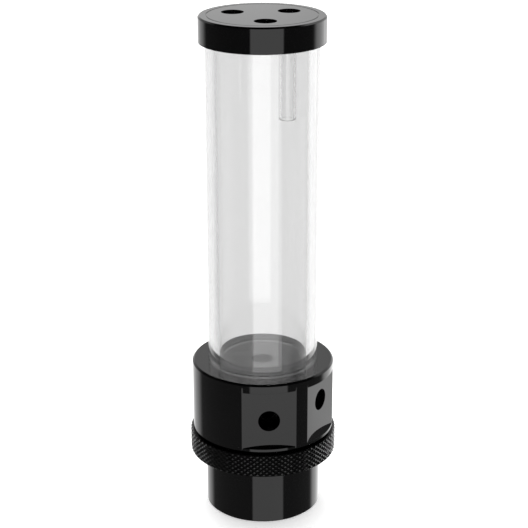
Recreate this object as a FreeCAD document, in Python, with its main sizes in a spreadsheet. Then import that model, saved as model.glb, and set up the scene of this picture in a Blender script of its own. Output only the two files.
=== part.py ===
import FreeCAD, Part
import os
import Sketcher

# Coolant pump reservoir: a clear tube between a lid and a pump block, clamped to a pump module.
# Millimetres. The origin is the centre of the foot, +Z up, and the front port faces -Y.

os.makedirs("parts", exist_ok=True)
doc = FreeCAD.newDocument("coolant_pump_reservoir")

# Driving dimensions, one cell each
DIMENSIONS = {
    # pump cover, the barrel at the foot
    "cover_radius": 31.75,
    "cover_height": 35.4,
    "cover_wall": 2.0,
    "cover_floor": 2.0,
    "cover_edge": 0.6,
    "flange_width": 4.35,
    "flange_thickness": 2.0,
    # clamp ring
    "ring_wall": 3.85,
    "ring_play": 0.5,
    "ring_height": 12.6,
    "ring_lip": 3.0,
    "ring_edge": 0.7,
    "ring_gap": 0.7,
    # block that carries the tube
    "block_radius": 38.9,
    "block_height": 40.45,
    "block_edge": 1.0,
    "flat_depth": 2.84,
    "flat_low": 2.5,
    "flat_high": 5.15,
    "flat_turn": 55.06,
    "port_radius": 5.9,
    "port_depth": 12.0,
    "front_port_rise": 18.1,
    "side_port_rise": 22.5,
    "drilling_radius": 4.5,
    "riser_radius": 4.0,
    "riser_inset": 0.6,
    "plug_rise": 1.7,
    "plug_rim": 1.2,
    "floor_drop": 2.05,
    # pump chamber in the block
    "chamber_radius": 22.6,
    "roof_play": 0.8,
    "volute_start": 0.6,
    "volute_step": 1.1,
    "volute_height": 7.6,
    "volute_turn": 10.0,
    # clear tubes
    "tube_radius": 30.0,
    "tube_wall": 6.0,
    "tube_visible": 176.9,
    "tube_seat": 6.5,
    "fill_radius": 5.0,
    "fill_wall": 1.5,
    "fill_length": 48.3,
    "fill_seat": 5.0,
    # lid
    "lid_wall": 3.3,
    "lid_crown": 5.45,
    "lid_edge": 0.8,
    "lid_line_inset": 4.4,
    "lid_line_width": 0.5,
    "lid_line_depth": 0.3,
    "lid_port_wall": 0.75,
    "fill_turn": 120.0,
    "left_port_turn": 240.0,
    # seals
    "seal_thickness": 1.8,
    "pump_seal_inset": 3.7,
    "seal_groove_width": 2.6,
    # motor
    "sphere_drop": 19.0,
    "dome_radius": 24.0,
    "dome_wall": 1.0,
    "skirt_gap": 1.75,
    "skirt_wall": 2.0,
    "yoke_thickness": 4.0,
    "yoke_drop": 12.4,
    "yoke_bore": 5.0,
    "pole_play": 1.25,
    "pole_count": 6,
    "pole_radius": 3.6,
    "pole_distance": 11.5,
    "coil_radius": 5.4,
    "coil_play": 1.0,
    # rotor
    "rotor_gap": 0.6,
    "rotor_shell_wall": 0.5,
    "magnet_wall": 3.0,
    "magnet_bore": 7.0,
    "rotor_rim_rise": 0.8,
    "ball_radius": 1.75,
    "ball_rise": 2.35,
    "post_radius": 1.2,
    "post_root": 3.0,
    "socket_radius": 4.2,
    "socket_height": 3.6,
    "socket_roof": 0.6,
    "hub_play": 1.4,
    "hub_roof": 1.4,
    "blade_count": 7,
    "blade_height": 3.2,
    "blade_width": 1.2,
    "blade_curve": 12.5,
    "blade_across": 4.0,
    "blade_back": 12.0,
    "shroud_inset": 0.3,
    "shroud_thickness": 0.9,
    "eye_radius": 6.4,
    # board and speed control
    "board_inset": 0.4,
    "board_thickness": 1.6,
    "screw_distance": 20.0,
    "screw_count": 3,
    "screw_radius": 1.2,
    "screw_head_radius": 2.3,
    "screw_head_height": 1.5,
    "screw_bite": 2.5,
    "spacer_radius": 2.6,
    "spacer_length": 11.0,
    "capacitor_radius": 3.15,
    "capacitor_play": 2.5,
    "capacitor_distance": 13.0,
    "capacitor_turn": 60.0,
    "chip_width": 5.0,
    "chip_length": 6.0,
    "chip_height": 1.5,
    "chip_distance": 9.5,
    "dial_inset": 10.5,
    "dial_radius": 4.5,
    "dial_recess": 0.6,
    "dial_thickness": 3.2,
    "dial_slot_width": 1.0,
    "dial_slot_length": 6.3,
    "dial_slot_depth": 1.0,
    "dial_stem_radius": 1.5,
    "dial_stem_length": 4.0,
    "dial_base_side": 9.5,
    "dial_gap": 1.0,
    "dial_shaft_room": 0.3,
    # cable grommet
    "grommet_lift": 0.4,
    "grommet_radius": 3.2,
    "grommet_bore": 2.2,
    "grommet_flange": 1.2,
    "grommet_overlap": 1.0,
    # clearances
    "thread_clearance": 0.1,
    "seat_clearance": 0.1,
    "free_clearance": 0.35,
}

CAPACITOR_COUNT = 2
CHIP_COUNT = 3

sheet = doc.addObject("Spreadsheet::Sheet", "dims")
for row, (alias, number) in enumerate(DIMENSIONS.items(), start=1):
    sheet.set(f"A{row}", alias.replace("_", " "))
    sheet.set(f"B{row}", str(number))
    sheet.setAlias(f"B{row}", alias)
doc.recompute()

# Levels above the foot, as expressions on the sheet
COVER_BORE = "(dims.cover_radius - dims.cover_wall)"
FLANGE_RADIUS = "(dims.cover_radius + dims.flange_width)"
RING_THREAD = f"({FLANGE_RADIUS} + dims.ring_play)"
RING_RADIUS = f"({RING_THREAD} + dims.ring_wall)"
SPIGOT_RADIUS = f"({RING_THREAD} - dims.thread_clearance)"
PUMP_SEAL_RADIUS = f"({SPIGOT_RADIUS} - dims.pump_seal_inset)"
COVER_TOP = "(dims.cover_height + dims.flange_thickness)"
CASE_TOP = f"({COVER_TOP} + dims.flange_thickness)"
RING_BOTTOM = "(dims.cover_height - dims.ring_lip)"
RING_TOP = f"({RING_BOTTOM} + dims.ring_height)"
BLOCK_BOTTOM = f"({RING_TOP} + dims.ring_gap)"
BLOCK_TOP = f"({BLOCK_BOTTOM} + dims.block_height)"
PLUG_TOP = f"({BLOCK_TOP} + dims.plug_rise)"
FLOOR_LOW = f"({PLUG_TOP} - dims.floor_drop)"
TUBE_BOTTOM = f"({BLOCK_TOP} - dims.tube_seat)"
TUBE_TOP = f"({BLOCK_TOP} + dims.tube_visible + dims.tube_seat)"
LID_BOTTOM = f"({BLOCK_TOP} + dims.tube_visible)"
LID_ROOF = f"({TUBE_TOP} + dims.seal_thickness)"
LID_TOP = f"({LID_ROOF} + dims.lid_crown)"
LID_RADIUS = "(dims.tube_radius + dims.thread_clearance + dims.lid_wall)"
FILL_TOP = f"({LID_BOTTOM} + dims.fill_seat)"
TUBE_BORE = "(dims.tube_radius - dims.tube_wall)"
PLUG_RADIUS = f"({TUBE_BORE} - dims.free_clearance)"
LID_PORT = f"({PLUG_RADIUS} - dims.lid_port_wall - dims.port_radius)"
FLAT_DISTANCE = "(dims.block_radius - dims.flat_depth)"
PORT_END = f"({FLAT_DISTANCE} - dims.port_depth)"
RISER_DISTANCE = "(dims.chamber_radius - dims.riser_radius - dims.riser_inset)"
SEAT_RADIUS = "(dims.tube_radius + dims.thread_clearance)"
DOME_BORE = "(dims.dome_radius - dims.dome_wall)"
SPHERE_LEVEL = f"({CASE_TOP} - dims.sphere_drop)"
SKIRT_RADIUS = f"({COVER_BORE} - dims.skirt_gap)"
SKIRT_BORE = f"({SKIRT_RADIUS} - dims.skirt_wall)"
DIAL_DISTANCE = f"({SKIRT_RADIUS} - dims.dial_inset)"
SHELL_BORE = "(dims.dome_radius + dims.rotor_gap)"
MAGNET_BORE = f"({SHELL_BORE} + dims.rotor_shell_wall)"
MAGNET_RADIUS = f"({MAGNET_BORE} + dims.magnet_wall)"
ROTOR_RIM = f"({CASE_TOP} + dims.rotor_rim_rise)"
HUB_RADIUS = "(dims.chamber_radius - dims.hub_play)"
HUB_TOP = f"({SPHERE_LEVEL} + {MAGNET_RADIUS} + dims.hub_roof)"
BLADE_TOP = f"({HUB_TOP} + dims.blade_height)"
CHAMBER_ROOF = f"({BLADE_TOP} + dims.shroud_thickness + dims.roof_play)"
VOLUTE_FLOOR = f"({CHAMBER_ROOF} - dims.volute_height)"
DOME_TOP = f"({SPHERE_LEVEL} + dims.dome_radius)"
BALL_LEVEL = f"({DOME_TOP} + dims.ball_rise)"
SOCKET_TOP = f"({BALL_LEVEL} + dims.ball_radius + dims.seat_clearance + dims.socket_roof)"
YOKE_TOP = f"({CASE_TOP} - dims.yoke_drop)"
YOKE_BOTTOM = f"({YOKE_TOP} - dims.yoke_thickness)"
BOARD_TOP = f"({YOKE_BOTTOM} - dims.spacer_length)"
BOARD_BOTTOM = f"({BOARD_TOP} - dims.board_thickness)"
DIAL_TOP = "(dims.dial_recess + dims.dial_thickness)"
GROMMET_REACH = "(dims.grommet_radius + dims.grommet_overlap)"
GROMMET_LEVEL = f"(dims.cover_floor + {GROMMET_REACH} + dims.grommet_lift)"


def number(expression):
    """The value of an expression on the sheet, in millimetres or degrees."""
    result = sheet.evalExpression(str(expression))
    return float(getattr(result, "Value", result))


def piece(name):
    """A body with its own label, which names its file."""
    body = doc.addObject("PartDesign::Body", name)
    body.Label = name
    return body


def new_sketch(body, name, role, rise="0"):
    """A sketch on one of the body's own origin planes, lifted along the plane's normal."""
    sketch = body.newObject("Sketcher::SketchObject", name)
    plane = next(plane for plane in body.Origin.OriginFeatures if plane.Role == role)
    sketch.AttachmentSupport = [(plane, "")]
    sketch.MapMode = "FlatFace"
    sketch.setExpression("AttachmentOffset.Base.z", rise)
    return sketch


def constrain(sketch, kind, places, expression):
    """A constraint whose value follows the sheet."""
    index = sketch.addConstraint(Sketcher.Constraint(kind, *places, number(expression)))
    sketch.setExpression(f"Constraints[{index}]", expression)


def hold_start(sketch, edge, radius, level):
    """Fix the start of an edge by its radius and its level, where "0" is the axis."""
    if radius == "0":
        sketch.addConstraint(Sketcher.Constraint("PointOnObject", edge, 1, -2))
    else:
        constrain(sketch, "DistanceX", (-1, 1, edge, 1), radius)
    if level == "0":
        sketch.addConstraint(Sketcher.Constraint("PointOnObject", edge, 1, -1))
    else:
        constrain(sketch, "DistanceY", (-1, 1, edge, 1), level)


def turned(body, name, corners):
    """A closed outline of (radius, level) corners, turned a full circle about the Z axis."""
    sketch = new_sketch(body, f"{name}_outline", "XZ_Plane")
    points = [FreeCAD.Vector(number(radius), number(level), 0) for radius, level in corners]
    for index, start in enumerate(points):
        finish = points[(index + 1) % len(points)]
        sketch.addGeometry(Part.LineSegment(start, finish), False)
    for index, (radius, level) in enumerate(corners):
        after = (index + 1) % len(corners)
        sketch.addConstraint(Sketcher.Constraint("Coincident", index, 2, after, 1))
        hold_start(sketch, index, radius, level)
    turn = body.newObject("PartDesign::Revolution", name)
    turn.Profile = sketch
    turn.ReferenceAxis = (sketch, ["V_Axis"])
    turn.Angle = 360
    return turn


def primitive(body, kind, name, place, **sizes):
    """A primitive feature of a body, with its place and its sizes bound to the sheet."""
    feature = body.newObject(f"PartDesign::{kind}", name)
    for key, expression in sizes.items():
        feature.setExpression(key, expression)
    feature.setExpression("Placement", place)
    return feature


def upright(level, across="0", along="0"):
    """A place whose axis points up."""
    return f"placement(vector({across}; {along}; {level}); rotation(vector(0; 0; 1); 0))"


def turned_by(turn):
    """A turn about the Z axis, from the front towards +X."""
    return f"placement(vector(0; 0; 0); rotation(vector(0; 0; 1); {turn}))"


def around(turn, distance, level):
    """An upright place at a distance from the axis, turned from the front towards +X."""
    return f"{turned_by(turn)} * {upright(level, '0', f'-{distance}')}"


def outward(turn, distance, level):
    """A place whose axis points away from the Z axis, turned from the front towards +X."""
    lying = f"placement(vector(0; -{distance}; {level}); rotation(vector(1; 0; 0); 90))"
    return f"{turned_by(turn)} * {lying}"


def repeat_around(body, feature, name, count):
    """Copies of a feature about the body's Z axis."""
    pattern = body.newObject("PartDesign::PolarPattern", name)
    axis = next(line for line in body.Origin.OriginFeatures if line.Role == "Z_Axis")
    pattern.Originals = [feature]
    pattern.Axis = (axis, [""])
    pattern.Angle = 360
    pattern.setExpression("Occurrences", count)
    body.Tip = pattern
    return pattern


def seal(name, radius, level):
    """A round sealing ring lying on a level."""
    ring = doc.addObject("Part::Torus", name)
    ring.Label = name
    ring.setExpression("Radius1", radius)
    ring.setExpression("Radius2", "dims.seal_thickness / 2")
    ring.setExpression("Placement", upright(f"{level} + dims.seal_thickness / 2"))


def pillar(name, place, radius, height):
    """A plain upright cylinder for the groups."""
    cylinder = doc.addObject("Part::Cylinder", name)
    cylinder.setExpression("Radius", radius)
    cylinder.setExpression("Height", height)
    cylinder.setExpression("Placement", place)
    return cylinder


def pipe(name, place, radius, bore, height):
    """A plain upright pipe for the groups."""
    cut = doc.addObject("Part::Cut", name)
    cut.Base = pillar(f"{name}_outside", place, radius, height)
    cut.Tool = pillar(f"{name}_bore", place, bore, height)
    return cut


def group(name, members):
    """Separate solids in one node."""
    compound = doc.addObject("Part::Compound", name)
    compound.Label = name
    compound.Links = members


def make_pump_cover():
    """Barrel with a floor and a flange, a window for the speed dial and a hole for the lead."""
    body = piece("pump_cover")
    turned(body, "barrel", [
        ("0", "0"),
        ("dims.cover_radius - dims.cover_edge", "0"),
        ("dims.cover_radius", "dims.cover_edge"),
        ("dims.cover_radius", "dims.cover_height"),
        (FLANGE_RADIUS, "dims.cover_height"),
        (FLANGE_RADIUS, COVER_TOP),
        (COVER_BORE, COVER_TOP),
        (COVER_BORE, "dims.cover_floor"),
        ("0", "dims.cover_floor"),
    ])
    primitive(body, "SubtractiveCylinder", "dial_window", around("180", DIAL_DISTANCE, "-1"),
              Radius="dims.dial_radius + dims.free_clearance", Height="dims.cover_floor + 2")
    primitive(body, "SubtractiveCylinder", "lead_hole",
              outward("180", f"({COVER_BORE} - 1)", GROMMET_LEVEL),
              Radius="dims.grommet_radius + dims.seat_clearance", Height="dims.cover_wall + 2")


def make_cable_grommet():
    """Rubber bush with a flange on each side of the barrel's wall."""
    inner_face = f"(sqrt(pow({COVER_BORE}; 2) - pow({GROMMET_REACH}; 2)) - dims.seat_clearance)"
    waist = f"(dims.cover_radius + dims.seat_clearance - {inner_face})"
    body = piece("cable_grommet")
    turned(body, "bush", [
        ("dims.grommet_bore", "-dims.grommet_flange"),
        (GROMMET_REACH, "-dims.grommet_flange"),
        (GROMMET_REACH, "0"),
        ("dims.grommet_radius", "0"),
        ("dims.grommet_radius", waist),
        (GROMMET_REACH, waist),
        (f"{GROMMET_REACH} - dims.grommet_flange / 2", f"{waist} + dims.grommet_flange"),
        ("dims.grommet_bore", f"{waist} + dims.grommet_flange"),
    ])
    body.setExpression("Placement", outward("180", inner_face, GROMMET_LEVEL))


def make_clamp_ring():
    """Ring whose lip holds the pump's flange up against the block."""
    lip_bore = "dims.cover_radius + dims.free_clearance"
    body = piece("clamp_ring")
    turned(body, "ring", [
        (lip_bore, RING_BOTTOM),
        (f"{RING_RADIUS} - dims.ring_edge", RING_BOTTOM),
        (RING_RADIUS, f"{RING_BOTTOM} + dims.ring_edge"),
        (RING_RADIUS, f"{RING_TOP} - dims.ring_edge"),
        (f"{RING_RADIUS} - dims.ring_edge", RING_TOP),
        (RING_THREAD, RING_TOP),
        (RING_THREAD, "dims.cover_height"),
        (lip_bore, "dims.cover_height"),
    ])


def make_pump_top():
    """Block with the tube's seat above, the pump chamber below and two ports in milled flats."""
    groove_in = f"{PUMP_SEAL_RADIUS} - dims.seal_groove_width / 2"
    groove_out = f"{PUMP_SEAL_RADIUS} + dims.seal_groove_width / 2"
    groove_roof = f"{CASE_TOP} + dims.seal_thickness + dims.seat_clearance"
    seat_floor = f"{TUBE_BOTTOM} - dims.seal_thickness"
    body = piece("pump_top")
    turned(body, "block", [
        ("0", CASE_TOP),
        (groove_in, CASE_TOP),
        (groove_in, groove_roof),
        (groove_out, groove_roof),
        (groove_out, CASE_TOP),
        (SPIGOT_RADIUS, CASE_TOP),
        (SPIGOT_RADIUS, BLOCK_BOTTOM),
        ("dims.block_radius - dims.block_edge", BLOCK_BOTTOM),
        ("dims.block_radius", f"{BLOCK_BOTTOM} + dims.block_edge"),
        ("dims.block_radius", f"{BLOCK_TOP} - dims.block_edge"),
        ("dims.block_radius - dims.block_edge", BLOCK_TOP),
        (SEAT_RADIUS, BLOCK_TOP),
        (SEAT_RADIUS, seat_floor),
        (PLUG_RADIUS, seat_floor),
        (PLUG_RADIUS, PLUG_TOP),
        (f"{PLUG_RADIUS} - dims.plug_rim", PLUG_TOP),
        (f"{PLUG_RADIUS} - dims.plug_rim", FLOOR_LOW),
        ("0", FLOOR_LOW),
    ])
    primitive(body, "SubtractiveCylinder", "suction", upright(f"{CHAMBER_ROOF} - 1"),
              Radius="dims.port_radius", Height=f"{FLOOR_LOW} - {CHAMBER_ROOF} + 2")
    primitive(body, "SubtractiveCylinder", "chamber", upright(f"{CASE_TOP} - 1"),
              Radius="dims.chamber_radius", Height=f"{CHAMBER_ROOF} - {CASE_TOP} + 1")
    cut_volute(body)
    front_level = f"({BLOCK_BOTTOM} + dims.front_port_rise)"
    side_level = f"({BLOCK_BOTTOM} + dims.side_port_rise)"
    cut_port(body, "front", "0", front_level)
    cut_port(body, "side", "dims.flat_turn", side_level)
    primitive(body, "SubtractiveCylinder", "riser", around("0", RISER_DISTANCE, f"{CHAMBER_ROOF} - 1"),
              Radius="dims.riser_radius", Height=f"{front_level} - {CHAMBER_ROOF} + 1")
    cut_drilling(body, "front", "0", RISER_DISTANCE, front_level)
    cut_drilling(body, "side", "dims.flat_turn", "0", side_level)


def cut_volute(body):
    """Four quarter turns round the wheel, each wider by one step, with centres on a small square."""
    half = "dims.volute_step / 2"
    spin = turned_by("dims.volute_turn - 90")
    centres = ((f"-{half}", half), (f"-{half}", f"-{half}"), (half, f"-{half}"), (half, half))
    for quarter, (across, along) in enumerate(centres):
        centre = upright(VOLUTE_FLOOR, across, along)
        place = f"{spin} * {centre} * {turned_by(quarter * 90)}"
        primitive(body, "SubtractiveCylinder", f"volute_{quarter + 1}", place,
                  Radius=f"dims.chamber_radius + dims.volute_start + dims.volute_step * {quarter + 0.5}",
                  Height="dims.volute_height", Angle="90")


def cut_port(body, name, turn, level):
    """A milled flat and the threaded port in its face."""
    flat_level = f"{BLOCK_BOTTOM} + dims.flat_low"
    corner = upright(flat_level, "-dims.block_radius", "-dims.block_radius - 1")
    primitive(body, "SubtractiveBox", f"{name}_flat", f"{turned_by(turn)} * {corner}",
              Length="dims.block_radius * 2", Width="dims.flat_depth + 1",
              Height="dims.block_height - dims.flat_low - dims.flat_high")
    primitive(body, "SubtractiveCylinder", f"{name}_port",
              outward(turn, PORT_END, level),
              Radius="dims.port_radius", Height="dims.port_depth + 1")


def cut_drilling(body, name, turn, start, level):
    """The narrower passage behind a port, inwards to the given distance from the axis."""
    primitive(body, "SubtractiveCylinder", f"{name}_drilling", outward(turn, f"({start})", level),
              Radius="dims.drilling_radius", Height=f"{PORT_END} - ({start}) + 1")


def make_clear_tubes():
    """The reservoir's wall and the short tube under the lid's filling port."""
    body = piece("reservoir_tube")
    turned(body, "wall", [
        (TUBE_BORE, TUBE_BOTTOM),
        ("dims.tube_radius", TUBE_BOTTOM),
        ("dims.tube_radius", TUBE_TOP),
        (TUBE_BORE, TUBE_TOP),
    ])
    body = piece("fill_tube")
    turned(body, "wall", [
        ("dims.fill_radius - dims.fill_wall", "0"),
        ("dims.fill_radius", "0"),
        ("dims.fill_radius", "dims.fill_length"),
        ("dims.fill_radius - dims.fill_wall", "dims.fill_length"),
    ])
    place = around("dims.fill_turn", LID_PORT, f"({FILL_TOP} - dims.fill_length)")
    body.setExpression("Placement", place)


def make_lid():
    """Cap that screws over the tube's end, with a plug inside it and three ports."""
    line_in = f"{LID_RADIUS} - dims.lid_line_inset - dims.lid_line_width / 2"
    line_out = f"{LID_RADIUS} - dims.lid_line_inset + dims.lid_line_width / 2"
    body = piece("lid")
    turned(body, "cap", [
        ("0", LID_BOTTOM),
        (PLUG_RADIUS, LID_BOTTOM),
        (PLUG_RADIUS, LID_ROOF),
        (SEAT_RADIUS, LID_ROOF),
        (SEAT_RADIUS, LID_BOTTOM),
        (LID_RADIUS, LID_BOTTOM),
        (LID_RADIUS, f"{LID_TOP} - dims.lid_edge"),
        (f"{LID_RADIUS} - dims.lid_edge", LID_TOP),
        (line_out, LID_TOP),
        (line_out, f"{LID_TOP} - dims.lid_line_depth"),
        (line_in, f"{LID_TOP} - dims.lid_line_depth"),
        (line_in, LID_TOP),
        ("0", LID_TOP),
    ])
    for name, turn in (("front_port", "0"), ("left_port", "dims.left_port_turn")):
        primitive(body, "SubtractiveCylinder", name, around(turn, LID_PORT, f"{LID_BOTTOM} - 1"),
                  Radius="dims.port_radius", Height=f"{LID_TOP} - {LID_BOTTOM} + 2")
    primitive(body, "SubtractiveCylinder", "fill_port", around("dims.fill_turn", LID_PORT, FILL_TOP),
              Radius="dims.port_radius", Height=f"{LID_TOP} - {FILL_TOP} + 1")
    primitive(body, "SubtractiveCylinder", "fill_seat",
              around("dims.fill_turn", LID_PORT, f"{LID_BOTTOM} - 1"),
              Radius="dims.fill_radius + dims.seat_clearance", Height="dims.fill_seat + 2")


def make_seals():
    """Sealing rings at both ends of the tube and between the block and the pump."""
    tube_middle = "dims.tube_radius - dims.tube_wall / 2"
    seal("lid_seal", tube_middle, TUBE_TOP)
    seal("tube_seal", tube_middle, f"{TUBE_BOTTOM} - dims.seal_thickness")
    seal("pump_seal", PUMP_SEAL_RADIUS, CASE_TOP)


def make_motor_case():
    """Flanged pump body with a round skirt below and a thin dome above the windings."""
    body = piece("motor_case")
    turned(body, "case", [
        (SKIRT_BORE, BOARD_TOP),
        (SKIRT_RADIUS, BOARD_TOP),
        (SKIRT_RADIUS, COVER_TOP),
        (FLANGE_RADIUS, COVER_TOP),
        (FLANGE_RADIUS, CASE_TOP),
        ("0", CASE_TOP),
        ("0", YOKE_TOP),
        (SKIRT_BORE, YOKE_TOP),
    ])
    primitive(body, "AdditiveSphere", "dome", upright(SPHERE_LEVEL), Radius="dims.dome_radius",
              Angle1=f"asin(({YOKE_TOP} - {SPHERE_LEVEL}) / dims.dome_radius)")
    primitive(body, "SubtractiveSphere", "coil_room", upright(SPHERE_LEVEL), Radius=DOME_BORE)
    primitive(body, "SubtractiveCylinder", "post_hole", upright(f"{DOME_TOP} - dims.post_root"),
              Radius="dims.post_radius + dims.seat_clearance", Height="dims.post_root + 1")


def under_dome(distance):
    """Level of the dome's inside at a distance from the axis."""
    return f"({SPHERE_LEVEL} + sqrt(pow({DOME_BORE}; 2) - pow({distance}; 2)))"


def make_stator():
    """Iron core with round poles, and one coil on each pole."""
    body = piece("stator_core")
    turned(body, "yoke", [
        ("dims.yoke_bore", YOKE_BOTTOM),
        (f"{SKIRT_BORE} - dims.seat_clearance", YOKE_BOTTOM),
        (f"{SKIRT_BORE} - dims.seat_clearance", YOKE_TOP),
        ("dims.yoke_bore", YOKE_TOP),
    ])
    hole = primitive(body, "SubtractiveCylinder", "screw_hole",
                     around("0", "dims.screw_distance", f"{YOKE_BOTTOM} - 1"),
                     Radius="dims.screw_radius + dims.seat_clearance",
                     Height="dims.yoke_thickness + 2")
    repeat_around(body, hole, "screw_holes", "dims.screw_count")
    pole_top = f"{under_dome('dims.pole_distance + dims.pole_radius')} - dims.pole_play"
    pole = primitive(body, "AdditiveCylinder", "pole", around("0", "dims.pole_distance", YOKE_BOTTOM),
                     Radius="dims.pole_radius", Height=f"{pole_top} - {YOKE_BOTTOM}")
    repeat_around(body, pole, "poles", "dims.pole_count")
    coil_top = f"{under_dome('dims.pole_distance + dims.coil_radius')} - dims.coil_play"
    coils = []
    for index in range(int(number("dims.pole_count"))):
        place = around(f"360 / dims.pole_count * {index}", "dims.pole_distance", YOKE_TOP)
        coils.append(pipe(f"coil_{index + 1}", place, "dims.coil_radius",
                          "dims.pole_radius + dims.seat_clearance", f"{coil_top} - {YOKE_TOP}"))
    group("stator_windings", coils)


def make_bearing():
    """Post fixed in the dome, ball on the post, and the socket that turns on the ball."""
    post_level = f"{DOME_TOP} - dims.post_root"
    post = pillar("bearing_post", upright(post_level), "dims.post_radius",
                  f"{BALL_LEVEL} - dims.ball_radius - ({post_level})")
    post.Label = "bearing_post"
    ball = doc.addObject("Part::Sphere", "bearing_ball")
    ball.Label = "bearing_ball"
    ball.setExpression("Radius", "dims.ball_radius")
    ball.setExpression("Placement", upright(BALL_LEVEL))
    room = "dims.ball_radius + dims.seat_clearance"
    body = piece("bearing_socket")
    primitive(body, "AdditiveCylinder", "socket", upright(f"{SOCKET_TOP} - dims.socket_height"),
              Radius="dims.socket_radius", Height="dims.socket_height")
    primitive(body, "SubtractiveSphere", "cup", upright(BALL_LEVEL), Radius=room)
    primitive(body, "SubtractiveCylinder", "mouth", upright(f"{SOCKET_TOP} - dims.socket_height - 1"),
              Radius=room, Height=f"{BALL_LEVEL} - {SOCKET_TOP} + dims.socket_height + 1")


def bowl(name, outside, inside, bore):
    """A bowl of even thickness over the dome, with a flat rim and a round hole on top."""
    body = piece(name)
    primitive(body, "AdditiveSphere", "outside", upright(SPHERE_LEVEL), Radius=outside,
              Angle1=f"asin(({ROTOR_RIM} - {SPHERE_LEVEL}) / ({outside}))")
    primitive(body, "SubtractiveSphere", "inside", upright(SPHERE_LEVEL), Radius=inside)
    primitive(body, "SubtractiveCylinder", "bore", upright(DOME_TOP), Radius=bore, Height=MAGNET_RADIUS)


def make_rotor():
    """Thin steel bowl and bowl-shaped magnet, both carried by the impeller."""
    bowl("rotor_shell", MAGNET_BORE, SHELL_BORE, "dims.socket_radius + dims.free_clearance")
    bowl("rotor_magnet", MAGNET_RADIUS, f"{MAGNET_BORE} + dims.seat_clearance / 2", "dims.magnet_bore")


def make_impeller():
    """Hub over the magnet, curved blades on the hub and a cover with an eye."""
    body = piece("impeller")
    primitive(body, "AdditiveCylinder", "hub", upright(ROTOR_RIM),
              Radius=HUB_RADIUS, Height=f"{HUB_TOP} - {ROTOR_RIM}")
    primitive(body, "SubtractiveSphere", "magnet_room", upright(SPHERE_LEVEL),
              Radius=f"{MAGNET_RADIUS} + dims.seat_clearance / 2")
    primitive(body, "AdditiveCylinder", "boss", upright(SPHERE_LEVEL),
              Radius="dims.magnet_bore - dims.seat_clearance", Height=f"{HUB_TOP} - {SPHERE_LEVEL}")
    primitive(body, "SubtractiveSphere", "shell_room", upright(SPHERE_LEVEL),
              Radius=f"{MAGNET_BORE} + dims.seat_clearance / 2")
    primitive(body, "SubtractiveCylinder", "socket_seat", upright(SPHERE_LEVEL),
              Radius="dims.socket_radius + dims.seat_clearance / 2",
              Height=f"{SOCKET_TOP} - {SPHERE_LEVEL}")
    blade = body.newObject("PartDesign::Pad", "blade")
    blade.Profile = draw_blade(body)
    blade.setExpression("Length", "dims.blade_height")
    repeat_around(body, blade, "blades", "dims.blade_count")
    primitive(body, "AdditiveCylinder", "shroud", upright(BLADE_TOP),
              Radius=f"{HUB_RADIUS} - dims.shroud_inset", Height="dims.shroud_thickness")
    primitive(body, "SubtractiveCylinder", "eye", upright(BLADE_TOP),
              Radius="dims.eye_radius", Height="dims.shroud_thickness + 1")


def draw_blade(body):
    """Outline of one blade: two arcs with one centre, closed by lines that point at it."""
    sketch = new_sketch(body, "blade_outline", "XY_Plane", HUB_TOP)
    centre = FreeCAD.Vector(number("dims.blade_across"), -number("dims.blade_back"), 0)
    radii = ("dims.blade_curve - dims.blade_width / 2", "dims.blade_curve + dims.blade_width / 2")
    for radius in radii:
        circle = Part.Circle(centre, FreeCAD.Vector(0, 0, 1), number(radius))
        start = circle.parameter(centre + FreeCAD.Vector(1, 0, 0))
        finish = circle.parameter(FreeCAD.Vector(2 * centre.x, 0, 0))
        sketch.addGeometry(Part.ArcOfCircle(circle, start, finish), False)
        constrain(sketch, "Radius", (sketch.GeometryCount - 1,), radius)
    for point in (1, 2):
        ends = [sketch.getPoint(arc, point) for arc in (0, 1)]
        line = sketch.addGeometry(Part.LineSegment(*ends), False)
        sketch.addConstraint(Sketcher.Constraint("Coincident", 0, point, line, 1))
        sketch.addConstraint(Sketcher.Constraint("Coincident", 1, point, line, 2))
        sketch.addConstraint(Sketcher.Constraint("PointOnObject", 0, 3, line))
    sketch.addConstraint(Sketcher.Constraint("Coincident", 0, 3, 1, 3))
    constrain(sketch, "DistanceX", (-1, 1, 0, 3), "dims.blade_across")
    constrain(sketch, "DistanceY", (-1, 1, 0, 3), "-dims.blade_back")
    constrain(sketch, "DistanceY", (-1, 1, 1, 1), "-dims.blade_back")
    sketch.addConstraint(Sketcher.Constraint("PointOnObject", 1, 2, -1))
    return sketch


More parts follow.
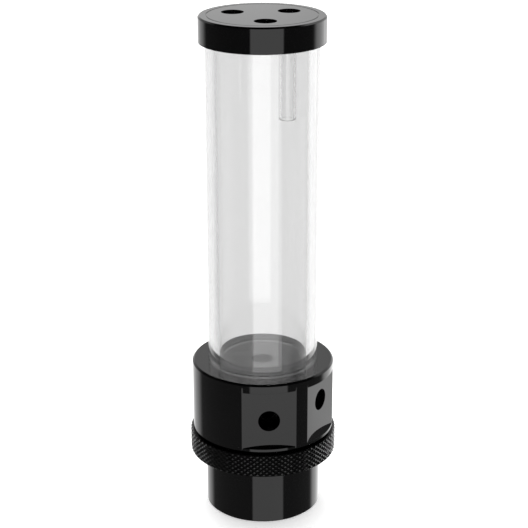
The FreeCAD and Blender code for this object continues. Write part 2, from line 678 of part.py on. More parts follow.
def make_board():
    """Round circuit board under the skirt, its spacers, screws and larger components."""
    body = piece("control_board")
    primitive(body, "AdditiveCylinder", "board", upright(BOARD_BOTTOM),
              Radius=f"{SKIRT_RADIUS} - dims.board_inset", Height="dims.board_thickness")
    hole = primitive(body, "SubtractiveCylinder", "screw_hole",
                     around("0", "dims.screw_distance", f"{BOARD_BOTTOM} - 1"),
                     Radius="dims.screw_radius + dims.seat_clearance",
                     Height="dims.board_thickness + 2")
    repeat_around(body, hole, "screw_holes", "dims.screw_count")
    spacers = []
    screws = []
    for index in range(int(number("dims.screw_count"))):
        turn = f"360 / dims.screw_count * {index}"
        place = around(turn, "dims.screw_distance", BOARD_TOP)
        spacers.append(pipe(f"spacer_{index + 1}", place, "dims.spacer_radius",
                            "dims.screw_radius + dims.seat_clearance", f"{YOKE_BOTTOM} - {BOARD_TOP}"))
        screws.append(make_screw(f"screw_{index + 1}", turn))
    group("board_spacers", spacers)
    group("board_screws", screws)
    capacitors = []
    for index in range(CAPACITOR_COUNT):
        place = around(f"dims.capacitor_turn - 120 * {index}", "dims.capacitor_distance", BOARD_TOP)
        capacitors.append(pillar(f"capacitor_{index + 1}", place, "dims.capacitor_radius",
                                 "dims.spacer_length - dims.capacitor_play"))
    group("board_capacitors", capacitors)
    chips = []
    for index in range(CHIP_COUNT):
        chip = doc.addObject("Part::Box", f"chip_{index + 1}")
        chip.setExpression("Length", "dims.chip_width")
        chip.setExpression("Width", "dims.chip_length")
        chip.setExpression("Height", "dims.chip_height")
        chip_back = "-dims.chip_distance - dims.chip_length / 2"
        corner = upright(BOARD_TOP, "-dims.chip_width / 2", chip_back)
        chip.setExpression("Placement", f"{turned_by(f'120 * {index}')} * {corner}")
        chips.append(chip)
    group("driver_chips", chips)


def make_screw(name, turn):
    """Pan-head screw from under the board into the core."""
    head_place = around(turn, "dims.screw_distance", f"({BOARD_BOTTOM} - dims.screw_head_height)")
    shank_place = around(turn, "dims.screw_distance", f"({BOARD_BOTTOM} - 0.5)")
    shank_length = f"{YOKE_BOTTOM} + dims.screw_bite - {BOARD_BOTTOM} + 0.5"
    screw = doc.addObject("Part::Fuse", name)
    screw.Base = pillar(f"{name}_head", head_place, "dims.screw_head_radius", "dims.screw_head_height")
    screw.Tool = pillar(f"{name}_shank", shank_place, "dims.screw_radius", shank_length)
    return screw


def make_speed_control():
    """Square base under the board and the slotted dial in the cover's window."""
    half = "dims.dial_base_side / 2"
    body = piece("dial_base")
    base_level = f"({DIAL_TOP} + dims.dial_gap)"
    primitive(body, "AdditiveBox", "base",
              upright(base_level, f"-{half}", f"{DIAL_DISTANCE} - {half}"),
              Length="dims.dial_base_side", Width="dims.dial_base_side",
              Height=f"{BOARD_BOTTOM} - {base_level}")
    primitive(body, "SubtractiveCylinder", "shaft_hole",
              upright(f"{base_level} - 1", "0", DIAL_DISTANCE),
              Radius="dims.dial_stem_radius + dims.thread_clearance",
              Height=f"{DIAL_TOP} + dims.dial_stem_length + dims.dial_shaft_room - {base_level} + 1")
    body = piece("speed_dial")
    primitive(body, "AdditiveCylinder", "disc", upright("dims.dial_recess", "0", DIAL_DISTANCE),
              Radius="dims.dial_radius", Height="dims.dial_thickness")
    primitive(body, "AdditiveCylinder", "stem", upright("dims.dial_recess", "0", DIAL_DISTANCE),
              Radius="dims.dial_stem_radius", Height="dims.dial_thickness + dims.dial_stem_length")
    slot_end = f"{DIAL_DISTANCE} - dims.dial_slot_length / 2"
    primitive(body, "SubtractiveBox", "slot",
              upright("dims.dial_recess - 1", "-dims.dial_slot_width / 2", slot_end),
              Length="dims.dial_slot_width", Width="dims.dial_slot_length",
              Height="dims.dial_slot_depth + 1")


make_pump_cover()
make_cable_grommet()
make_clamp_ring()
make_pump_top()
make_clear_tubes()
make_lid()
make_seals()
make_motor_case()
make_stator()
make_bearing()
make_rotor()
make_impeller()
make_board()
make_speed_control()
doc.recompute()

NODES = (
    "pump_cover", "cable_grommet", "clamp_ring", "pump_top",
    "reservoir_tube", "fill_tube", "lid", "lid_seal", "tube_seal", "pump_seal",
    "motor_case", "stator_core", "stator_windings",
    "bearing_post", "bearing_ball", "bearing_socket", "rotor_shell", "rotor_magnet", "impeller",
    "control_board", "board_spacers", "board_screws", "board_capacitors", "driver_chips",
    "dial_base", "speed_dial",
)
SEPARATE_SOLIDS = {
    "stator_windings": number("dims.pole_count"),
    "board_spacers": number("dims.screw_count"),
    "board_screws": number("dims.screw_count"),
    "board_capacitors": CAPACITOR_COUNT,
    "driver_chips": CHIP_COUNT,
}

for item in doc.Objects:
    faults = [state for state in item.State if state in ("Invalid", "Error")]
    if faults:
        raise RuntimeError(f"{item.Name} failed: {faults}")
for label in NODES:
    shape = doc.getObjectsByLabel(label)[0].Shape
    wanted = SEPARATE_SOLIDS.get(label, 1)
    if shape.isNull() or not shape.isValid() or len(shape.Solids) != wanted:
        raise RuntimeError(f"{label} has no sound shape")
for label in NODES:
    shape = doc.getObjectsByLabel(label)[0].Shape
    shape.exportStep(f"parts/{label}.step")
    print(f"{label}: {len(shape.Solids)} solids, {shape.Volume:.1f} mm3")
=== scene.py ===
import bmesh
import bpy
import math
from mathutils import Matrix, Vector


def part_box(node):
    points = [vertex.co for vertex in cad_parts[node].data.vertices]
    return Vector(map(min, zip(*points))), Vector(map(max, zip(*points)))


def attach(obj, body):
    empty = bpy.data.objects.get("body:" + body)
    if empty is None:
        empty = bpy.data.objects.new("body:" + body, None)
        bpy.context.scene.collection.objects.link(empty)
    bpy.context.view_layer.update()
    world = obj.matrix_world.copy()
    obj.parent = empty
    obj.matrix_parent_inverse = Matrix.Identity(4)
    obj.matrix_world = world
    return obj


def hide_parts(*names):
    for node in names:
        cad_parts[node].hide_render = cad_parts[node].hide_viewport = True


# Coolant pump reservoir, seen from above the front port. The dictionaries of its pieces hold millimetres
# and degrees, that of the studio metres and degrees. Where a piece ends as its CAD node does, the size is
# read from the frame.

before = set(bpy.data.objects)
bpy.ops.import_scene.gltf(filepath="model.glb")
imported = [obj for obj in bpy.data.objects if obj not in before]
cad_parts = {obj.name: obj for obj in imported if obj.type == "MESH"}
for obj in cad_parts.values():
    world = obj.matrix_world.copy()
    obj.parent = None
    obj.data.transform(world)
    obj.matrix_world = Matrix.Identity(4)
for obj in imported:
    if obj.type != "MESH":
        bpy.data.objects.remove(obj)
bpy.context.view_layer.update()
mm = 0.001
tiny = 1e-6  # metres: points nearer to each other than this are one
past = 1.0  # a cutting tool runs this far past a face
print("frame loaded:", len(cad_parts), "nodes")


# small helpers of the bench

# degrees between two faces: an edge over the first is rounded, one under the second is shaded smooth
shading = {"roundedOver": 35, "smoothUnder": 32}


def clearSelection():
    if bpy.context.object and bpy.context.object.mode != "OBJECT":
        bpy.ops.object.mode_set(mode="OBJECT")
    bpy.ops.object.select_all(action="DESELECT")


def pickOnly(shape):
    clearSelection()
    shape.select_set(True)
    bpy.context.view_layer.objects.active = shape


def settle(shape):
    # the place goes into the mesh and the object back to the origin
    pickOnly(shape)
    bpy.ops.object.transform_apply(location=True, rotation=True, scale=True)


def applyModifier(shape, modifier):
    pickOnly(shape)
    bpy.ops.object.modifier_apply(modifier=modifier.name)


def selectPoints(shape, test):
    # in edit mode: picks the points that pass the test and drops the others
    bpy.ops.mesh.select_mode(type="VERT")
    bpy.ops.mesh.select_all(action="DESELECT")
    mesh = bmesh.from_edit_mesh(shape.data)
    for point in mesh.verts:
        point.select = test(point.co)
    mesh.select_flush_mode()
    bmesh.update_edit_mesh(shape.data)


def turnedPiece(name, rings, sides, hollow=False):
    # a lathe form: one circle drawn out from ring to ring, each given as (radius, height)
    clearSelection()
    radius, height = rings[0]
    bpy.ops.mesh.primitive_circle_add(vertices=sides, radius=radius * mm, location=(0, 0, height * mm))
    shape = bpy.context.object
    shape.name = name
    settle(shape)
    bpy.ops.object.mode_set(mode="EDIT")
    bpy.ops.mesh.select_mode(type="EDGE")
    bpy.ops.mesh.select_all(action="SELECT")
    path = rings[1:] + rings[:1] if hollow else rings[1:]
    for nextRadius, nextHeight in path:
        lift = (0, 0, (nextHeight - height) * mm)
        bpy.ops.mesh.extrude_edges_move(TRANSFORM_OT_translate={"value": lift})
        grow = nextRadius / radius
        bpy.ops.transform.resize(value=(grow, grow, 1), center_override=(0, 0, nextHeight * mm))
        radius, height = nextRadius, nextHeight
    if not hollow:
        bpy.ops.mesh.edge_face_add()
        firstRadius, firstHeight = rings[0]
        selectPoints(shape, lambda place: abs(place.z - firstHeight * mm) < tiny
                     and abs(place.xy.length - firstRadius * mm) < tiny)
        bpy.ops.mesh.edge_face_add()
    bpy.ops.mesh.select_all(action="SELECT")
    bpy.ops.mesh.remove_doubles(threshold=tiny)
    bpy.ops.mesh.normals_make_consistent(inside=False)
    bpy.ops.object.mode_set(mode="OBJECT")
    return shape


def combine(shape, tool, operation="DIFFERENCE"):
    cut = shape.modifiers.new("cut", "BOOLEAN")
    cut.operation = operation
    cut.object = tool
    cut.solver = "EXACT"
    applyModifier(shape, cut)
    bpy.data.objects.remove(tool)


def drill(shape, radius, start, direction, length, sides=96):
    # a round hole from the start along the direction, all in millimetres
    clearSelection()
    aim = Vector(direction).normalized()
    middle = (Vector(start) + aim * length / 2) * mm
    bpy.ops.mesh.primitive_cylinder_add(vertices=sides, radius=radius * mm, depth=length * mm,
                                        location=middle, rotation=aim.to_track_quat("Z", "Y").to_euler())
    tool = bpy.context.object
    settle(tool)
    combine(shape, tool)


def soften(shape, width):
    # a fine rounding on every sharp edge, then clean shading on the flats beside it
    bevel = shape.modifiers.new("edges", "BEVEL")
    bevel.width = width * mm
    bevel.segments = 2
    bevel.limit_method = "ANGLE"
    bevel.angle_limit = math.radians(shading["roundedOver"])
    bevel.use_clamp_overlap = False
    bevel.miter_outer = "MITER_ARC"
    applyModifier(shape, bevel)
    shadeClean(shape)


def shadeClean(shape):
    pickOnly(shape)
    bpy.ops.object.shade_smooth_by_angle(angle=math.radians(shading["smoothUnder"]))
    even = shape.modifiers.new("shading", "WEIGHTED_NORMAL")
    even.keep_sharp = True
    applyModifier(shape, even)


def reach(node):
    # a turned node's outer radius, foot and top in the frame, in millimetres
    low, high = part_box(node)
    return {"radius": round(high[0] / mm, 2), "low": round(low[2] / mm, 2), "high": round(high[2] / mm, 2)}


def towards(turn):
    # direction from the axis, turned from the front towards the right
    angle = math.radians(turn)
    return Vector((math.sin(angle), -math.cos(angle), 0))


# thread ridges: how deep the foot is sunk into its wall, and the width as a share of the pitch
ridgeForm = {"sunk": 0.06, "widthOfPitch": 0.9, "smoothUnder": 25}


def threadRidge(name, wall, crest, pitch, windings, sides):
    # one ridge wound up the Z axis from height zero; its foot is sunk a little into the wall
    clearSelection()
    side = -1 if crest < wall else 1
    depth = abs(crest - wall) + ridgeForm["sunk"]
    foot = wall - side * ridgeForm["sunk"]
    bpy.ops.mesh.primitive_circle_add(vertices=3, radius=mm, rotation=(math.pi / 2, side * math.pi / 2, 0))
    ridge = bpy.context.object
    ridge.name = name
    settle(ridge)
    # as added, the triangle is 1.5 mm high and the root of 3 mm wide
    ridge.scale = (depth / 1.5, 1, pitch * ridgeForm["widthOfPitch"] / math.sqrt(3))
    ridge.location = ((foot + side * depth / 3) * mm, 0, 0)
    settle(ridge)
    wind = ridge.modifiers.new("wind", "SCREW")
    wind.axis = "Z"
    wind.angle = 2 * math.pi
    wind.steps = sides
    wind.render_steps = sides
    wind.iterations = windings
    wind.screw_offset = pitch * mm
    applyModifier(ridge, wind)
    bpy.ops.object.mode_set(mode="EDIT")
    bpy.ops.mesh.select_mode(type="EDGE")
    bpy.ops.mesh.select_all(action="SELECT")
    bpy.ops.mesh.remove_doubles(threshold=tiny / 10)
    bpy.ops.mesh.select_all(action="DESELECT")
    bpy.ops.mesh.select_non_manifold()
    bpy.ops.mesh.fill()
    bpy.ops.mesh.select_all(action="SELECT")
    bpy.ops.mesh.normals_make_consistent(inside=False)
    bpy.ops.object.mode_set(mode="OBJECT")
    pickOnly(ridge)
    bpy.ops.object.shade_smooth_by_angle(angle=math.radians(ridgeForm["smoothUnder"]))
    return ridge


def finishPiece(piece, material, body, slot, *nodes):
    # its material, the body it rides on, the record's slot, which is not used, and the CAD nodes that it
    # stands for
    piece.data.materials.clear()
    piece.data.materials.append(material)
    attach(piece, body)
    if nodes:
        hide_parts(*nodes)


# shared effects, as node groups that put out only values which vary over the surface

def newGroup(name, inputs, outputs):
    group = bpy.data.node_groups.new(name, "ShaderNodeTree")
    for label, value in inputs:
        socket = group.interface.new_socket(label, in_out="INPUT", socket_type="NodeSocketFloat")
        socket.default_value = value
    for label in outputs:
        group.interface.new_socket(label, in_out="OUTPUT", socket_type="NodeSocketFloat")
    return group, group.nodes.new("NodeGroupInput"), group.nodes.new("NodeGroupOutput")


def mathNode(tree, operation, first, second=None):
    node = tree.nodes.new("ShaderNodeMath")
    node.operation = operation
    for index, value in enumerate((first, second)):
        if value is None:
            continue
        if isinstance(value, (int, float)):
            node.inputs[index].default_value = value
        else:
            tree.links.new(value, node.inputs[index])
    return node.outputs[0]


def makeGrainGroup():
    # cloudy handling marks in the roughness and a fine grain in the height
    inputs = [("Cloud Scale", 60), ("Grain Scale", 2500), ("Low", 0.05), ("High", 0.09)]
    group, enter, leave = newGroup("handledGrain", inputs, ["Roughness", "Height", "Cloud"])
    place = group.nodes.new("ShaderNodeTexCoord")
    cloud = group.nodes.new("ShaderNodeTexNoise")
    cloud.inputs["Detail"].default_value = 5
    cloud.inputs["Roughness"].default_value = 0.6
    grain = group.nodes.new("ShaderNodeTexNoise")
    grain.inputs["Detail"].default_value = 2
    for noise, label in ((cloud, "Cloud Scale"), (grain, "Grain Scale")):
        group.links.new(place.outputs["Object"], noise.inputs["Vector"])
        group.links.new(enter.outputs[label], noise.inputs["Scale"])
    spread = group.nodes.new("ShaderNodeMapRange")
    spread.inputs["From Min"].default_value = 0.35
    spread.inputs["From Max"].default_value = 0.65
    group.links.new(cloud.outputs["Fac"], spread.inputs["Value"])
    group.links.new(enter.outputs["Low"], spread.inputs["To Min"])
    group.links.new(enter.outputs["High"], spread.inputs["To Max"])
    group.links.new(spread.outputs["Result"], leave.inputs["Roughness"])
    group.links.new(grain.outputs["Fac"], leave.inputs["Height"])
    group.links.new(cloud.outputs["Fac"], leave.inputs["Cloud"])
    return group


def makeLatheGroup():
    # fine tool marks that run round the axis on faces and walls alike
    group, enter, leave = newGroup("latheMarks", [("Lines per Metre", 4000)], ["Height"])
    place = group.nodes.new("ShaderNodeTexCoord")
    parts = group.nodes.new("ShaderNodeSeparateXYZ")
    group.links.new(place.outputs["Object"], parts.inputs["Vector"])
    across = mathNode(group, "MULTIPLY", parts.outputs["X"], parts.outputs["X"])
    along = mathNode(group, "MULTIPLY", parts.outputs["Y"], parts.outputs["Y"])
    away = mathNode(group, "SQRT", mathNode(group, "ADD", across, along))
    run = mathNode(group, "ADD", away, parts.outputs["Z"])
    lines = group.nodes.new("ShaderNodeTexNoise")
    lines.noise_dimensions = "1D"
    lines.inputs["Scale"].default_value = 1
    lines.inputs["Detail"].default_value = 3
    group.links.new(mathNode(group, "MULTIPLY", run, enter.outputs["Lines per Metre"]), lines.inputs["W"])
    group.links.new(lines.outputs["Fac"], leave.inputs["Height"])
    return group


grainGroup = makeGrainGroup()
latheGroup = makeLatheGroup()


def newMaterial(name, **sockets):
    material = bpy.data.materials.new(name)
    material.use_nodes = True
    shader = material.node_tree.nodes["Principled BSDF"]
    for label, value in sockets.items():
        shader.inputs[label.replace("_", " ")].default_value = value
    return material, material.node_tree, shader


def addGrain(tree, shader, low, high, cloudScale, grainScale, bump=0.0, lathe=0.0):
    # the grain group drives the roughness, and a bump with or without lathe marks where asked for
    grain = tree.nodes.new("ShaderNodeGroup")
    grain.node_tree = grainGroup
    grain.inputs["Cloud Scale"].default_value = cloudScale
    grain.inputs["Grain Scale"].default_value = grainScale
    grain.inputs["Low"].default_value = low
    grain.inputs["High"].default_value = high
    tree.links.new(grain.outputs["Roughness"], shader.inputs["Roughness"])
    height = grain.outputs["Height"]
    if lathe:
        marks = tree.nodes.new("ShaderNodeGroup")
        marks.node_tree = latheGroup
        height = mathNode(tree, "ADD", height, mathNode(tree, "MULTIPLY", marks.outputs["Height"], lathe))
    if bump:
        addRelief(tree, shader, height, bump, 0.0002)
    return grain


def addRelief(tree, shader, height, strength, distance):
    relief = tree.nodes.new("ShaderNodeBump")
    relief.inputs["Strength"].default_value = strength
    relief.inputs["Distance"].default_value = distance
    tree.links.new(height, relief.inputs["Height"])
    tree.links.new(relief.outputs["Normal"], shader.inputs["Normal"])


def blendColours(tree, shader, factor, first, second):
    # two near colours mixed by a varying value
    ramp = tree.nodes.new("ShaderNodeValToRGB")
    ramp.color_ramp.elements[0].position = 0.35
    ramp.color_ramp.elements[0].color = (*first, 1)
    ramp.color_ramp.elements[1].position = 0.65
    ramp.color_ramp.elements[1].color = (*second, 1)
    tree.links.new(factor, ramp.inputs["Fac"])
    tree.links.new(ramp.outputs["Color"], shader.inputs["Base Color"])


def makeGlossBlack():
    # polished black acetal, turned and buffed
    material, tree, shader = newMaterial("polishedBlack", IOR=1.5)
    grain = addGrain(tree, shader, 0.03, 0.06, cloudScale=45, grainScale=3000, bump=0.012, lathe=0.5)
    blendColours(tree, shader, grain.outputs["Cloud"], (0.0007, 0.0007, 0.0008), (0.0011, 0.0011, 0.0012))
    return material


def makeKnurlBlack():
    # the same acetal, rolled and less bright
    material, tree, shader = newMaterial("rolledBlack", IOR=1.5)
    grain = addGrain(tree, shader, 0.06, 0.12, cloudScale=300, grainScale=6000, bump=0.03)
    blendColours(tree, shader, grain.outputs["Cloud"], (0.0007, 0.0007, 0.0008), (0.0013, 0.0013, 0.0014))
    return material


def makeClear(name, tint, index, clearness):
    # cast acrylic, polished inside and out; a trace of haze in it catches the light
    material, tree, shader = newMaterial(name, Base_Color=(*tint, 1), IOR=index,
                                         Transmission_Weight=clearness)
    addGrain(tree, shader, 0.002, 0.005, cloudScale=25, grainScale=900)
    return material


def makeBedding():
    # a thin black sealant bed, which mirrors little of the light inside the clear wall
    material, tree, shader = newMaterial("beddingBlack", IOR=1.28)
    grain = addGrain(tree, shader, 0.05, 0.1, cloudScale=120, grainScale=4000, bump=0.02)
    blendColours(tree, shader, grain.outputs["Cloud"], (0.008, 0.008, 0.008), (0.014, 0.014, 0.014))
    return material


def makeRubber():
    material, tree, shader = newMaterial("sealRubber", IOR=1.52)
    grain = addGrain(tree, shader, 0.45, 0.6, cloudScale=250, grainScale=5000, bump=0.25)
    blendColours(tree, shader, grain.outputs["Cloud"], (0.012, 0.012, 0.012), (0.022, 0.022, 0.021))
    return material


def makeMoulded(name, dark, light, low, high, bump=0.2, metal=0.0):
    # moulded plastics and plain metals that differ in colour, gloss and grain
    material, tree, shader = newMaterial(name, Metallic=metal)
    grain = addGrain(tree, shader, low, high, cloudScale=180, grainScale=4000, bump=bump)
    blendColours(tree, shader, grain.outputs["Cloud"], dark, light)
    return material


def makeCopper():
    # enamelled wire: close turns round each pole, one over the other
    material, tree, shader = newMaterial("woundCopper", Metallic=1.0)
    grain = addGrain(tree, shader, 0.25, 0.4, cloudScale=200, grainScale=3000)
    blendColours(tree, shader, grain.outputs["Cloud"], (0.55, 0.21, 0.09), (0.75, 0.33, 0.16))
    place = tree.nodes.new("ShaderNodeTexCoord")
    wires = tree.nodes.new("ShaderNodeTexWave")
    wires.wave_type = "BANDS"
    wires.bands_direction = "Z"
    wires.inputs["Scale"].default_value = 480
    tree.links.new(place.outputs["Object"], wires.inputs["Vector"])
    addRelief(tree, shader, wires.outputs["Fac"], 0.8, 0.0003)
    return material


glossBlack = makeGlossBlack()
knurlBlack = makeKnurlBlack()
# at plain acrylic's 1.49 the large tube mirrored the front panel too faintly, so its index is set higher
hazyAcrylic = makeClear("hazyAcrylic", (0.95, 0.95, 0.95), 1.65, 0.96)
clearAcrylic = makeClear("clearAcrylic", (1, 1, 1), 1.49, 0.99)
beddingBlack = makeBedding()
sealRubber = makeRubber()
plainSteel = makeMoulded("plainSteel", (0.5, 0.5, 0.52), (0.66, 0.66, 0.67), 0.2, 0.32, bump=0.05,
                         metal=1.0)
groundCeramic = makeMoulded("groundCeramic", (0.82, 0.81, 0.78), (0.9, 0.89, 0.86), 0.1, 0.2, bump=0.03)
packageBlack = makeMoulded("packageBlack", (0.02, 0.02, 0.02), (0.035, 0.035, 0.035), 0.4, 0.55)
# finishes of the CAD nodes; those that aren't named here are replaced further down
finishOf = {
    "cable_grommet": sealRubber,
    "lid_seal": sealRubber,
    "tube_seal": sealRubber,
    "pump_seal": sealRubber,
    "motor_case": makeMoulded("mouldedBlack", (0.014, 0.014, 0.015), (0.028, 0.028, 0.03), 0.35, 0.5),
    "stator_core": makeMoulded("corePlate", (0.25, 0.25, 0.27), (0.36, 0.36, 0.38), 0.35, 0.5, metal=1.0),
    "stator_windings": makeCopper(),
    "bearing_post": plainSteel,
    "bearing_ball": groundCeramic,
    "bearing_socket": groundCeramic,
    "rotor_shell": plainSteel,
    "rotor_magnet": makeMoulded("pressedMagnet", (0.06, 0.06, 0.07), (0.1, 0.1, 0.11), 0.45, 0.6),
    "impeller": makeMoulded("wheelPlastic", (0.05, 0.05, 0.055), (0.08, 0.08, 0.085), 0.3, 0.45),
    "control_board": makeMoulded("boardGreen", (0.015, 0.11, 0.04), (0.03, 0.16, 0.06), 0.25, 0.4,
                                 bump=0.05),
    "board_spacers": plainSteel,
    "board_screws": plainSteel,
    "board_capacitors": makeMoulded("capacitorSleeve", (0.5, 0.5, 0.53), (0.68, 0.68, 0.7), 0.25, 0.35,
                                    metal=0.6),
    "driver_chips": packageBlack,
    "dial_base": packageBlack,
    "speed_dial": makeMoulded("dialRed", (0.33, 0.02, 0.02), (0.5, 0.035, 0.03), 0.3, 0.45),
}
for nodeName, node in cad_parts.items():
    node.data.materials.clear()
    node.data.materials.append(finishOf.get(nodeName, glossBlack))
print("finishes made")


# clear tubes: the reservoir's wall and the short filling tube. They are made further down, but the block
# and the lid are cut to fit them, so their sizes stand first.

# the CAD node's foot lies deeper in the block, but in the photo the tube seems to stand on the block, so
# the clear wall starts just under the block's top
tube = {
    "outer": reach("reservoir_tube")["radius"], "bore": 24.0, "low": 85.87,
    "high": reach("reservoir_tube")["high"], "endEdge": 0.05, "sides": 512,
}
filler = {
    "outer": 5.0, "bore": 3.5, "low": reach("fill_tube")["low"], "high": reach("fill_tube")["high"],
    "turn": 120, "away": 17.0, "endEdge": 0.1, "sides": 256,
}


# pump cover: the barrel at the foot, its flange under the ring, the dial's window and the lead's hole

cover = {
    "radius": 31.75, "wall": 2.0, "floor": 2.0, "footEdge": 0.6, "edge": 0.12, "sides": 256,
    "flangeRadius": reach("pump_cover")["radius"], "flangeLow": 35.4, "top": reach("pump_cover")["high"],
    "windowRadius": 4.85, "windowAway": 17.5, "leadRadius": 3.3, "leadHeight": 6.6,
}


def makeCover():
    bore = cover["radius"] - cover["wall"]
    barrel = turnedPiece("pumpCover", [
        (cover["radius"] - cover["footEdge"], 0),
        (cover["radius"], cover["footEdge"]),
        (cover["radius"], cover["flangeLow"]),
        (cover["flangeRadius"], cover["flangeLow"]),
        (cover["flangeRadius"], cover["top"]),
        (bore, cover["top"]),
        (bore, cover["floor"]),
    ], cover["sides"])
    drill(barrel, cover["windowRadius"], (0, cover["windowAway"], -past), (0, 0, 1),
          cover["floor"] + 2 * past)
    drill(barrel, cover["leadRadius"], (0, bore - past, cover["leadHeight"]), (0, 1, 0),
          cover["wall"] + 2 * past)
    soften(barrel, cover["edge"])
    finishPiece(barrel, glossBlack, "pump", "black_gloss", "pump_cover")


makeCover()
print("pump cover made")


# block: the tube's seat above, the pump chamber below, two ports in milled flats, a threaded spigot

block = {
    "radius": reach("pump_top")["radius"], "low": 45.7, "high": 86.15, "chamfer": 1.0, "edge": 0.1,
    "sides": 256, "seatPlay": 0.1, "bedThick": 0.02,
    "spigotLow": reach("pump_top")["low"], "spigotCore": 36.05, "spigotCrest": 36.5, "spigotPitch": 1.5,
    "spigotWindings": 3, "spigotSides": 180, "grooveIn": 31.5, "grooveOut": 34.1, "grooveRoof": 41.3,
    "chamberRadius": 22.6, "chamberRoof": 54.8, "chamberSides": 160, "suction": 5.9,
    "voluteStart": 0.6, "voluteStep": 1.1, "voluteFloor": 47.2, "voluteTurn": 10,
    "flatDistance": 36.06, "flatLow": 48.2, "flatHigh": 81.0, "millThick": 10,
    "frontTurn": 0, "frontHeight": 63.8, "sideTurn": 55.06, "sideHeight": 68.2, "portEnd": 24.06,
    "portSetBack": 3.4, "portWindings": 6,
    "passage": 4.5, "riser": 4.0, "riserAway": 18.0, "passageSides": 64,
}
port = {"radius": 5.9, "pitch": 1.337, "crest": 5.72, "sides": 48}  # in the block and in the lid


def cutVolute(body):
    # four quarter turns, each one step wider, their centres on a small square
    half = block["voluteStep"] / 2
    centres = ((-half, half), (-half, -half), (half, -half), (half, half))
    for quarter, (across, along) in enumerate(centres):
        clearSelection()
        radius = block["chamberRadius"] + block["voluteStart"] + block["voluteStep"] * (quarter + 0.5)
        tall = block["chamberRoof"] - block["voluteFloor"]
        bpy.ops.mesh.primitive_cylinder_add(vertices=block["chamberSides"], radius=radius * mm,
                                            depth=tall * mm,
                                            location=(0, 0, (block["voluteFloor"] + tall / 2) * mm))
        tool = bpy.context.object
        settle(tool)
        bpy.ops.object.mode_set(mode="EDIT")
        for normal in ((-1, 0, 0), (0, -1, 0)):
            bpy.ops.mesh.select_all(action="SELECT")
            bpy.ops.mesh.bisect(plane_co=(0, 0, 0), plane_no=normal, use_fill=True, clear_outer=True)
        bpy.ops.object.mode_set(mode="OBJECT")
        start = Matrix.Rotation(math.radians(block["voluteTurn"] - 90), 4, "Z")
        shift = Matrix.Translation((across * mm, along * mm, 0))
        spin = Matrix.Rotation(math.radians(quarter * 90), 4, "Z")
        tool.matrix_world = start @ (shift @ spin)
        settle(tool)
        combine(body, tool)


def cutPort(body, turn, height, inner):
    # the milled flat, the port in it and the narrower passage behind
    aim = towards(turn)
    clearSelection()
    tall = block["flatHigh"] - block["flatLow"]
    bpy.ops.mesh.primitive_cube_add(size=1)
    mill = bpy.context.object
    mill.scale = (block["radius"] * 2 * mm, block["millThick"] * mm, tall * mm)
    away = block["flatDistance"] + block["millThick"] / 2
    mill.location = (0, -away * mm, (block["flatLow"] + tall / 2) * mm)
    settle(mill)
    mill.matrix_world = Matrix.Rotation(math.radians(turn), 4, "Z")
    settle(mill)
    combine(body, mill)
    level = Vector((0, 0, height))
    depth = block["flatDistance"] - block["portEnd"] + 2 * past
    drill(body, port["radius"], level + aim * block["portEnd"], aim, depth)
    drill(body, block["passage"], level + aim * inner, aim, block["portEnd"] - inner + past,
          block["passageSides"])


def makeBlock():
    core = block["spigotCore"]
    seatRadius = tube["outer"] + block["seatPlay"]
    plugRadius = tube["bore"] - block["seatPlay"]
    seatFloor = tube["low"] - block["bedThick"]
    body = turnedPiece("pumpBlock", [
        (block["grooveIn"], block["spigotLow"]),
        (block["grooveIn"], block["grooveRoof"]),
        (block["grooveOut"], block["grooveRoof"]),
        (block["grooveOut"], block["spigotLow"]),
        (core, block["spigotLow"]),
        (core, block["low"]),
        (block["radius"] - block["chamfer"], block["low"]),
        (block["radius"], block["low"] + block["chamfer"]),
        (block["radius"], block["high"] - block["chamfer"]),
        (block["radius"] - block["chamfer"], block["high"]),
        (seatRadius, block["high"]),
        (seatRadius, seatFloor),
        (plugRadius, seatFloor),
        (plugRadius, block["high"]),
    ], block["sides"])
    drill(body, block["chamberRadius"], (0, 0, block["spigotLow"] - past), (0, 0, 1),
          block["chamberRoof"] - block["spigotLow"] + past, block["chamberSides"])
    drill(body, block["suction"], (0, 0, block["chamberRoof"] - past), (0, 0, 1),
          block["high"] - block["chamberRoof"] + 2 * past)
    cutVolute(body)
    drill(body, block["riser"], (0, -block["riserAway"], block["chamberRoof"] - past), (0, 0, 1),
          block["frontHeight"] - block["chamberRoof"] + past, block["passageSides"])
    cutPort(body, block["frontTurn"], block["frontHeight"], block["riserAway"])
    cutPort(body, block["sideTurn"], block["sideHeight"], 0)
    soften(body, block["edge"])
    finishPiece(body, glossBlack, "reservoir", "black_gloss", "pump_top")


def makePortThread(name, mouth, aim, setBack, windings, body):
    # a wound ridge in a port, from a little under its mouth inwards
    ridge = threadRidge(name, port["radius"], port["crest"], port["pitch"], windings, port["sides"])
    inwards = -Vector(aim)
    start = Vector(mouth) + inwards * setBack
    turned = inwards.to_track_quat("Z", "Y").to_matrix().to_4x4()
    ridge.matrix_world = Matrix.Translation(start * mm) @ turned
    settle(ridge)
    finishPiece(ridge, glossBlack, body, "black_gloss")


def makeSpigotThread():
    ridge = threadRidge("spigotThread", block["spigotCore"], block["spigotCrest"], block["spigotPitch"],
                        block["spigotWindings"], block["spigotSides"])
    ridge.location = (0, 0, (block["spigotLow"] + block["spigotPitch"] / 2) * mm)
    settle(ridge)
    finishPiece(ridge, glossBlack, "reservoir", "black_gloss")


makeBlock()
for threadName, threadTurn, threadHeight in (("frontPortThread", block["frontTurn"], block["frontHeight"]),
                                             ("sidePortThread", block["sideTurn"], block["sideHeight"])):
    facing = towards(threadTurn)
    mouth = facing * block["flatDistance"] + Vector((0, 0, threadHeight))
    makePortThread(threadName, mouth, facing, block["portSetBack"], block["portWindings"], "reservoir")
makeSpigotThread()
print("block made")


# clamp ring: a rolled diamond knurl whose points are cut back to the ring's own chamfered profile

